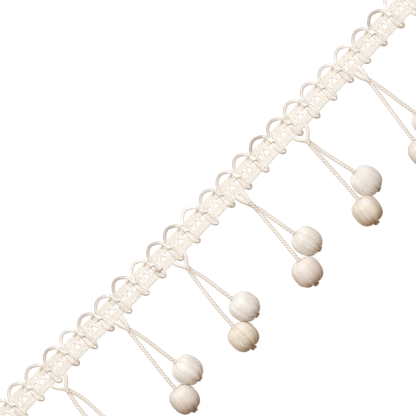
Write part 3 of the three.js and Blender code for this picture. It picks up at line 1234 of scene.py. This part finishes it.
@dataclass(frozen=True)
class WrappedBead:
    """A turned bead with thread laid lengthwise over it, from bore to bore.

    Places along a thread are shares, from 0 at the cord's entry to 1 by the knot.

    Attributes:
        radius: Half of the bead's width, over its threads.
        half: From its middle to either end.
        squareness: Exponent of the outline: 2 is an ellipse, more is squarer.
        threads: Number of threads round the bead.
        ridge: How far a thread stands out over the furrows beside it.
        knot_drop: Distance of the knot from the bead's middle.
        end_angle: Where the outline turns in to the bore, in degrees.
        mouth: Two rings of the bore's mouth, inner first: radius and depth in from the end.
        rows: Points along a thread.
        columns: Points across a thread.
        shift: How far a thread strays from even spacing, as a share of it.
        wander: How far a thread wanders over the belly, as a share of the spacing.
        slant: How far the threads slant at most, in radians.
        swell: How far the threads' heights differ, as a share.
        flat: Distance from the axis within which the threads lie flatter.
        lobes: Gathers round the knot.
        lobe_height: How far the gathers swell.
        lobe_crease_shade: How much darker the creases between the gathers are painted, as painted
            shade.
        lobe_drift: How unevenly the gathers are spaced, in radians of their wave.
        gather: Where the gathers set in, and are full.
        gather_end: Where they sink again.
        gather_sink: How far they sink, as a share.
        tone: Lightness of the threads.
        knot_shade_runs: Where the threads are painted darker towards the knot, in two steps, as
        painted shade.
        uneven: How far the bead is out of round.
    """

    radius: float
    half: float
    squareness: float
    threads: int
    ridge: float
    knot_drop: float
    end_angle: float = 76.0
    mouth: tuple[tuple[float, float], ...] = ((0.7, 1.2), (0.88, 0.55))
    rows: int = 48
    columns: int = 6
    shift: float = 0.2
    wander: float = 0.1
    slant: float = 0.12
    swell: float = 0.4
    flat: float = 2.5
    lobes: int = 10
    lobe_height: float = 0.2
    lobe_crease_shade: float = 0.12
    lobe_drift: float = 0.8
    gather: tuple[float, float] = (0.62, 0.84)
    gather_end: tuple[float, float] = (0.9, 1.0)
    gather_sink: float = 0.7
    tone: float = 0.9
    knot_shade_runs: tuple[tuple[float, float], ...] = ((0.4, 0.8), (0.8, 0.97))
    uneven: float = 0.08

    def outline(self) -> tuple[Array, Array]:
        """Outline from the upper bore to the lower one.

        Returns:
            Points as (radius, along the axis), and the outward directions there.
        """
        corners, pace = 17, 0.05
        angle = np.radians(np.linspace(self.end_angle, -self.end_angle, corners))
        power = 2 / self.squareness
        body = np.stack(
            [
                self.radius * np.cos(angle) ** power,
                self.half * np.sign(angle) * np.abs(np.sin(angle)) ** power,
                np.zeros_like(angle),
            ],
            axis=-1,
        )
        upper = np.array([[radius, self.half - depth, 0.0] for radius, depth in self.mouth])
        lower = upper[::-1] * np.array([1, -1, 1])
        even = paced(smooth(np.concatenate([upper, body, lower]), 6), pace)
        line = even[np.round(np.linspace(0, len(even) - 1, self.rows)).astype(int)]
        way = tangents(line)
        return line[:, :2], np.stack([-way[:, 1], way[:, 0]], axis=-1)

    def spread(self, rng: np.random.Generator, share: Array) -> Array:
        """Spreads the skin's points round the bead, thread beside thread.

        Args:
            rng: Source of the threads' strays.
            share: Places along the threads, by row.

        Returns:
            Angles round the bead, by row and point.
        """
        step = FULL_TURN / self.threads
        off = rng.uniform(-self.shift, self.shift, self.threads) * step
        furrow = np.arange(self.threads) * step + off
        wander = rng.normal(0, self.wander, self.threads) * step
        furrow = furrow + wander * np.sin(math.pi * share)
        furrow = np.concatenate([furrow, furrow[:, :1] + FULL_TURN], axis=1)
        across = np.arange(self.columns) / self.columns
        angle = furrow[:, :-1, None] + np.diff(furrow, axis=1)[..., None] * across
        return angle.reshape(self.rows, -1) + rng.uniform(-self.slant, self.slant) * (share - 0.5)

    def lay(self, skein: Skein, place: BeadPlace, middle: Array, seed: int) -> None:
        """Lays the threads over the bead, as one ridged skin.

        Args:
            skein: Skein that takes it.
            place: How the bead lies.
            middle: The bead's middle.
            seed: Seed of the strays of this bead's threads.
        """
        rng = np.random.default_rng(seed)
        finish = place.finish
        line, out = self.outline()
        line = line * np.array([place.girth, 1.0])
        share = np.linspace(0, 1, self.rows)[:, None]
        angle = self.spread(rng, share)
        across = np.arange(self.columns) / self.columns
        crown = np.tile(np.sqrt(1 - (2 * across - 1) ** 2), self.threads)
        own = np.repeat(rng.normal(0, self.swell, self.threads), self.columns)
        ridge = self.ridge * finish.stand * np.minimum(1.0, line[:, :1] / self.flat)
        phase, lump = rng.uniform(0, FULL_TURN, 2)
        gather = ease(*self.gather, share) * (1 - self.gather_sink * ease(*self.gather_end, share))
        wave = self.lobes * angle + phase + self.lobe_drift * np.sin(2 * angle + lump)
        lobe = np.cos(wave) * gather
        round_off = np.cos(2 * angle + lump + 3 * share) * np.sin(math.pi * share)
        lift = ridge * (crown * (1 + own) - 1) + self.lobe_height * lobe + self.uneven * round_off
        spoke = np.stack([np.cos(angle), np.zeros_like(angle), np.sin(angle)], axis=-1)
        axis = np.array([0.0, 1.0, 0.0])
        normal = out[:, None, :1] * spoke + out[:, None, 1:] * axis
        grid = line[:, None, :1] * spoke + line[:, None, 1:] * axis + lift[..., None] * normal
        streak = np.repeat(rng.normal(0, finish.streak, self.threads), self.columns)
        # Painted shade in the furrows between the threads.
        tone = self.tone + place.shade + streak - finish.groove_shade * (1 - crown)
        # Painted shade: the threads darken towards the knot.
        tone = tone - finish.tip * sum(ease(*run, share) for run in self.knot_shade_runs)
        # Painted shade in the creases between the gathers.
        tone = tone - self.lobe_crease_shade * (gather - lobe) / 2
        skein.add_grid(grid @ place.turn.T + middle, tone)


SHORT_BEAD = WrappedBead(
    radius=4.97, half=5.02, squareness=2.4, threads=40, ridge=0.2, knot_drop=5.12
)
LONG_BEAD = WrappedBead(
    radius=4.85, half=4.8, squareness=2.65, threads=32, ridge=0.18, knot_drop=5.22
)


@dataclass(frozen=True)
class LoopLeg:
    """One leg of a hanger's loop, from under the heading to the neck.

    Attributes:
        radius: Half of its width.
        flat: Its thickness, as a share of its width.
        corners: Corners of its section.
        height: Height of its middle at its hidden end.
        drops: Where its hidden end, its foot and its bend lie, below the heading's middle line.
        splay: Spread of its hidden end and of its bend, as shares of the foot's.
        bend: How much further out its bend lies.
        rise: How far its foot lies over its hidden end, and its bend below the neck.
        meet: Distance from the hanger's middle at the neck's top, and at the leg's end.
        run_on: How far it runs on in the neck.
        fill_run: Where the leg of a narrow loop starts to be thicker, and is thickest, as shares of
            its length.
        tone: Lightness at the heading.
        dark: How much darker it is at the neck.
        dusk: Where it darkens, as shares of its length.
        painted_side_shade: Painted light and shade on the leg's sides: way towards which it is
        painted lighter. Its length is how much.
    """

    radius: float = 0.65
    flat: float = 0.8
    corners: int = 10
    height: float = 0.85
    drops: tuple[float, float, float] = (3.2, 4.3, 5.9)
    splay: tuple[float, float] = (1.05, 0.6)
    bend: float = 0.2
    rise: float = 0.1
    meet: tuple[float, float] = (0.5, 0.12)
    run_on: float = 0.7
    fill_run: tuple[float, float] = (0.9, 0.4)
    tone: float = 0.75
    dark: float = 0.4
    dusk: tuple[float, float] = (0.3, 0.9)
    painted_side_shade: tuple[float, float, float] = (0.4, 0.1, 0.0)

    def add(self, skein: Skein, neck: Array, foot: float, fill: float, seed: float) -> None:
        """Adds the leg.

        Args:
            skein: Skein that takes the leg.
            neck: Top of the neck.
            foot: Foot of the leg, from the hanger.
            fill: How much thicker the leg is at the heading, as a share.
            seed: Shift of the fibre pattern.
        """
        x, y, z = neck
        side = math.copysign(1.0, foot)
        hidden, mouth, bend = self.drops
        hidden_splay, bend_splay = self.splay
        meet, close = self.meet
        stations = np.array([
            [x + foot * hidden_splay, -hidden, self.height],
            [x + foot, -mouth, self.height + self.rise],
            [x + bend_splay * foot + self.bend * side, -bend, z - self.rise],
            [x + side * meet, y, z],
            [x + side * close, y - self.run_on, z],
        ])
        path = smooth(stations, 5)
        share = np.linspace(0, 1, len(path))
        swell = 1 + fill * ease(*self.fill_run, share)
        widths = np.stack([swell, np.ones_like(swell)], axis=-1)
        section = oval(self.corners, self.radius, self.radius * self.flat) * widths[:, None]
        tone = self.tone - self.dark * ease(*self.dusk, share)
        # Painted light and shade on the leg's sides.
        painted_side_shade = np.tile(self.painted_side_shade, (len(path), 1))
        skein.add(path, UP, section, tone, seed=seed, painted_side_shade=painted_side_shade)


@dataclass(frozen=True)
class CordKnot:
    """The overhand knot under a bead.

    Attributes:
        size: Half of its width.
        cord: Half of the cord's thickness in it, as a share of that.
        corners: Corners of the cord's section.
        steps: Points along the cord.
        tone: Its lightness.
    """

    size: float = 1.18
    cord: float = 0.42
    corners: int = 7
    steps: int = 48
    tone: float = 0.4

    def tie(
        self, skein: Skein, place: BeadPlace, middle: Array, drop: float, spin: float
    ) -> None:
        """Adds the knot.

        Args:
            skein: Skein that takes the knot.
            place: How the bead lies.
            middle: The bead's middle.
            drop: Distance of the knot from it.
            spin: Turn of the knot about the cord.
        """
        t = np.linspace(0, FULL_TURN, self.steps, endpoint=False)
        # A trefoil, which is an overhand knot with its ends joined.
        loop = np.stack(
            [np.sin(t) + 2 * np.sin(2 * t), -0.9 * np.sin(3 * t), np.cos(t) - 2 * np.cos(2 * t)],
            axis=-1,
        )
        cord = self.size * self.cord
        loop *= (self.size - cord) / 3
        turned = np.array(Matrix.Rotation(spin, 3, "Y"))
        path = (loop @ turned.T + np.array([0.0, -drop, 0.0])) @ place.turn.T + middle
        way = tangents(path, closed=True)
        aside = 1e-3  # keeps the outward way off the cord's own
        up = unit(np.cross(way, unit(path - path.mean(axis=0)) + aside))
        section = oval(self.corners, cord, cord)
        skein.add(path, up, section, self.tone, closed=True, seed=spin)


@dataclass
class BeadFringe:
    """The hanger loops, their cords and their beads.

    Attributes:
        layout: Where the repeats fall.
        short_bead: Form of the beads on the short cords.
        long_bead: Form of the beads on the long cords. They are squarer.
        bead_height: Height of a bead's middle over the floor.
        ply: Radius of a cord's ply.
        ply_offset: Distance of a ply's middle from the cord's middle.
        lay: Length of one turn of the plies.
        twist: Hand of the cords.
        loop_leg: The legs of the loops.
        cord_knot: The knots under the beads.
        neck_start: Where the legs meet, below the heading's middle line.
        neck_height: Height of the neck's middle.
        neck_turns: Turns of the two cords about each other in the neck.
        cord_offset: Distance of each cord from the neck's middle.
        leaving: The way that a cord leaves the neck: down and up.
        arriving: Straight run before the bead.
        bore_depth: Depth in the bead from which the cord follows the bore.
        cord_tones: Lightness of a cord in the neck, on its way and in its bead.
        long_tone: How much lighter the long cords are on their way, and how much darker the short.
        contact: Where the beads of a hanger touch, as a share of the way from the short cord's to
            the long one's.
        touch: Half of the space between them there.
        bead_seed: Seed of the first bead's strays.
    """

    layout: Layout
    short_bead: WrappedBead = SHORT_BEAD
    long_bead: WrappedBead = LONG_BEAD
    bead_height: float = 4.98
    ply: float = 0.46
    ply_offset: float = 0.27
    lay: float = 2.3
    twist: Twist = Twist.S
    loop_leg: LoopLeg = LoopLeg()
    cord_knot: CordKnot = CordKnot()
    neck_start: float = 7.4
    neck_height: float = 1.08
    neck_turns: float = 0.5
    cord_offset: float = 0.44
    leaving: tuple[float, float] = (-6.0, 0.6)
    arriving: float = 6.0
    bore_depth: float = 1.0
    cord_tones: tuple[float, float, float] = (0.3, 0.46, 0.4)
    long_tone: float = 0.08
    contact: float = 0.5
    touch: float = 0.03
    bead_seed: int = 100
    _rng: np.random.Generator = field(default_factory=lambda: np.random.default_rng(37))

    def form(self, end: CordEnd) -> WrappedBead:
        """Form of the bead on a cord."""
        return self.short_bead if end is CordEnd.SHORT else self.long_bead

    def neck_top(self, x: float) -> Array:
        """Top of the neck of the hanger at x."""
        return np.array([x, -self.neck_start, self.neck_height])

    def middle_of(self, x: float, place: BeadPlace) -> Array:
        """Middle of a bead under the hanger at x."""
        return np.array([x + place.across, -place.drop, self.bead_height])

    def cord_path(self, x: float, hanger: Hanger, end: CordEnd, place: BeadPlace) -> Array:
        """Way of a cord from the neck's top, through its bead and into the knot.

        Args:
            x: Place of the hanger.
            hanger: The hanger's sizes.
            end: Which of its cords.
            place: Where its bead lies.

        Returns:
            Points of the cord's middle, each with its lightness.
        """
        neck_steps, free_steps, bore_steps = 14, 25, 6
        share = np.linspace(0, 1, neck_steps)[:, None]
        top = self.neck_top(x)
        part = np.array([x + hanger.lean, -hanger.neck, self.neck_height])
        turn = FULL_TURN * self.neck_turns * (1 - share) * self.twist.value
        ring = np.concatenate([np.cos(turn), np.zeros_like(turn), np.sin(turn)], axis=1)
        neck = top + share * (part - top) + end.value * self.cord_offset * ring
        down, up = self.leaving
        bead = self.form(end)
        entry = place.turn @ np.array([0.0, 1.0, 0.0])
        middle = self.middle_of(x, place)
        start = neck[-1]
        controls = (
            start,
            start + np.array([end.value * place.spread, down, up]),
            middle + entry * (bead.half + self.arriving),
            middle + entry * bead.half,
        )
        t = np.linspace(0, 1, free_steps)[1:, None]
        free = (
            (1 - t) ** 3 * controls[0]
            + 3 * (1 - t) ** 2 * t * controls[1]
            + 3 * (1 - t) * t**2 * controls[2]
            + t**3 * controls[3]
        )
        depth = np.linspace(bead.half - self.bore_depth, -bead.knot_drop, bore_steps)[:, None]
        inside = middle + depth * entry
        dim, plain, deep = self.cord_tones
        tones = [dim, plain - self.long_tone * end.value, deep]
        tone = np.repeat(tones, [len(neck), len(free), len(inside)])
        return np.column_stack([np.concatenate([neck, free, inside]), tone])

    def twisted(self, skein: Skein, route: Array) -> None:
        """Adds a cord of two plies along a route.

        Args:
            skein: Skein that takes the cord.
            route: Points of the cord's middle, each with its lightness.
        """
        steps = 16
        even = paced(route, self.lay / steps)
        path, tone = even[:, :3], even[:, 3]
        way = tangents(path)
        up = carried_up(path, UP)
        side = np.cross(up, way)
        along = np.arange(len(path)) * self.lay / steps
        section = oval(YARN_CORNERS, self.ply, self.ply)
        seed = fibre_shift(self._rng)
        for ply in (0.0, math.pi):
            angle = (self.twist.value * along / self.lay * FULL_TURN + ply)[:, None]
            out = np.cos(angle) * side + np.sin(angle) * up
            skein.add(path + self.ply_offset * out, out, section, tone, seed=seed + ply)

    def build(
        self,
        cord_finish: bpy.types.Material,
        knot_finish: bpy.types.Material,
        threads: dict[YarnFinish, bpy.types.Material],
    ) -> None:
        """Builds every hanger with its cords, knots and beads.

        Args:
            cord_finish: Material of the cords.
            knot_finish: Material of the knots.
            threads: Material of each bead thread.
        """
        knots = Skein(self.layout)
        for j, hanger in enumerate(HANGERS):
            x = self.layout.hanger(j) + hanger.along
            cords = Skein(self.layout)
            for foot in (hanger.left, hanger.right):
                seed = fibre_shift(self._rng)
                self.loop_leg.add(cords, self.neck_top(x), foot, hanger.fill, seed)
            short, long = self.middle_of(x, hanger.short), self.middle_of(x, hanger.long)
            for end, place in ((CordEnd.SHORT, hanger.short), (CordEnd.LONG, hanger.long)):
                form, name = self.form(end), f"{j + 1}_{end.name.lower()}"
                self.twisted(cords, self.cord_path(x, hanger, end, place))
                middle, spin = self.middle_of(x, place), self._rng.uniform(0, FULL_TURN)
                self.cord_knot.tie(knots, place, middle, form.knot_drop, spin)
                bead = Skein(self.layout)
                apart = end.value * unit(short - long)
                bead.press(short + self.contact * (long - short) + self.touch * apart, apart)
                seed = self.bead_seed + 2 * j + (end is CordEnd.SHORT)
                form.lay(bead, place, middle, seed)
                bead.piece(f"wrapped_bead_{name}", threads[place.finish], (f"bead_{name}",))
            cords.piece(f"hanger_cords_{j + 1}", cord_finish, (f"fringe_{j + 1}",))
        knots.piece("cord_knots", knot_finish)


@dataclass
class Studio:
    """Pale floor, soft light and the camera.

    Attributes:
        layout: Where the trim lies.
        view_centre: Point in the middle of the picture, from the trim's middle line.
        view_width: Width of the picture at the trim.
        view_height: Height over the floor at which it is measured.
        view_roll: Turn of the picture about the line of sight, in degrees.
        lens: Focal length. It is long, so that the view is nearly without perspective.
        sensor: Width of the camera's sensor.
        key_elevation: Height of the main light over the floor, in degrees.
        key_turn: Turn of the main light towards +X from straight across the trim, in degrees.
        key_distance: Distance of the main light, in metres.
        key_size: Width of the main light, in metres.
        key_power: Power of the main light, in watts.
        key_colour: Its colour.
        fill: Strength of the even light from all round.
        fill_colour: Its colour.
        sheet_half: Half of the width of the stage's sheets, in metres.
        floor_glow: Strength of the floor's own light.
        floor_height: Height of the floor. It lies just clear of the trim.
        card_height: Height of the card under it.
        card_colour: Its colour.
    """

    layout: Layout
    view_centre: tuple[float, float] = (6.12, 0.85)
    view_width: float = 141.3
    view_height: float = 2.0
    view_roll: float = -45.9
    lens: float = 300.0
    sensor: float = 36.0
    key_elevation: float = 54.0
    key_turn: float = 8.0
    key_distance: float = 0.9
    key_size: float = 0.45
    key_power: float = 6.9
    key_colour: str = "#e4f2ff"
    fill: float = 0.52
    fill_colour: str = "#ffebda"
    sheet_half: float = 4.0
    floor_glow: float = 0.97
    floor_height: float = -0.05
    card_height: float = -0.3
    card_colour: str = "#aa9c8e"

    def camera(self) -> None:
        """Sets the camera straight above the trim."""
        data = bpy.data.cameras.new("camera")
        data.lens = self.lens
        data.sensor_width = self.sensor
        data.dof.use_dof = False
        made = bpy.data.objects.new("camera", data)
        x, y = self.view_centre
        height = self.view_width * self.lens / self.sensor
        place = (x, y + self.layout.middle_line, height + self.view_height)
        made.location = Vector(place) * METRE
        made.rotation_euler = (0.0, 0.0, math.radians(self.view_roll))
        bpy.context.scene.collection.objects.link(made)
        bpy.context.scene.camera = made

    def lights(self) -> None:
        """Adds the soft main light on the scallops' side, and the even fill."""
        data = bpy.data.lights.new("key", "AREA")
        data.shape = "DISK"
        data.size = self.key_size
        data.energy = self.key_power
        data.color = linear(self.key_colour)[:3]
        made = bpy.data.objects.new("key", data)
        angle, turn = math.radians(self.key_elevation), math.radians(self.key_turn)
        level = math.cos(angle)
        way = Vector((level * math.sin(turn), level * math.cos(turn), math.sin(angle)))
        made.location = way * self.key_distance
        made.rotation_mode = "QUATERNION"
        made.rotation_quaternion = way.to_track_quat("Z", "Y")
        made.visible_camera = False
        bpy.context.scene.collection.objects.link(made)
        world = bpy.data.worlds.new("studio")
        world.use_nodes = True
        sky = world.node_tree.nodes["Background"].inputs
        sky["Color"].default_value = linear(self.fill_colour)
        sky["Strength"].default_value = self.fill
        bpy.context.scene.world = world
        bpy.context.scene.view_settings.view_transform = "Standard"

    def sheet(
        self, name: str, height: float, settings: dict[str | int, object]
    ) -> bpy.types.Object:
        """Adds a wide flat sheet of the stage.

        Args:
            name: Name of the sheet.
            height: Height over the floor, in millimetres.
            settings: Settings of its plain surface.

        Returns:
            The new object.
        """
        half = self.sheet_half
        corners = [(-half, -half), (half, -half), (half, half), (-half, half)]
        mesh = bpy.data.meshes.new(name)
        mesh.from_pydata([(x, y, height * METRE) for x, y in corners], [], [(0, 1, 2, 3)])
        material = bpy.data.materials.new(name)
        material.use_nodes = True
        material.node_tree.nodes.clear()
        surface = add_node(material.node_tree, "ShaderNodeBsdfPrincipled", settings)
        links = {"Surface": surface.outputs["BSDF"]}
        add_node(material.node_tree, "ShaderNodeOutputMaterial", links=links)
        mesh.materials.append(material)
        made = bpy.data.objects.new(name, mesh)
        bpy.context.scene.collection.objects.link(made)
        return made

    def floor(self) -> None:
        """Adds the pale floor, and under it a card that keeps light from below off the trim."""
        glow = {
            "Base Color": linear("#595959"),
            "Roughness": 1.0,
            "Specular IOR Level": 0.0,
            "Emission Color": linear("#ffffff"),
            "Emission Strength": self.floor_glow,
        }
        floor = self.sheet("floor", self.floor_height, glow)
        floor.visible_diffuse = False
        floor.visible_glossy = False
        floor.visible_shadow = False
        matt = {"Base Color": linear(self.card_colour), "Roughness": 1.0}
        card = self.sheet("card", self.card_height, matt)
        card.visible_camera = False


def main() -> None:
    """Builds the trim's pieces in order, and the studio round them."""
    logging.basicConfig(level=logging.INFO, format="%(name)s %(message)s")
    heading_half = 3.5  # millimetres
    low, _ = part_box("heading")
    layout = Layout(middle_line=low.y / METRE + heading_half)
    cotton = WOVEN_COTTON.material()
    heading = WovenHeading(layout)
    heading.weft(cotton)
    heading.warp(cotton)
    gimp = ScrollGimp(layout)
    gimp.cord(WRAPPED_VISCOSE.material())
    gimp.binders(BINDER_COTTON.material())
    threads = {
        finish: finish.material()
        for finish in (IVORY_THREAD, ROSE_WHITE_THREAD, ROSE_BEIGE_THREAD, STRAW_THREAD)
    }
    BeadFringe(layout).build(TWISTED_COTTON.material(), KNOTTED_COTTON.material(), threads)
    studio = Studio(layout)
    studio.camera()
    studio.lights()
    studio.floor()


if __name__ == "__main__":
    main()
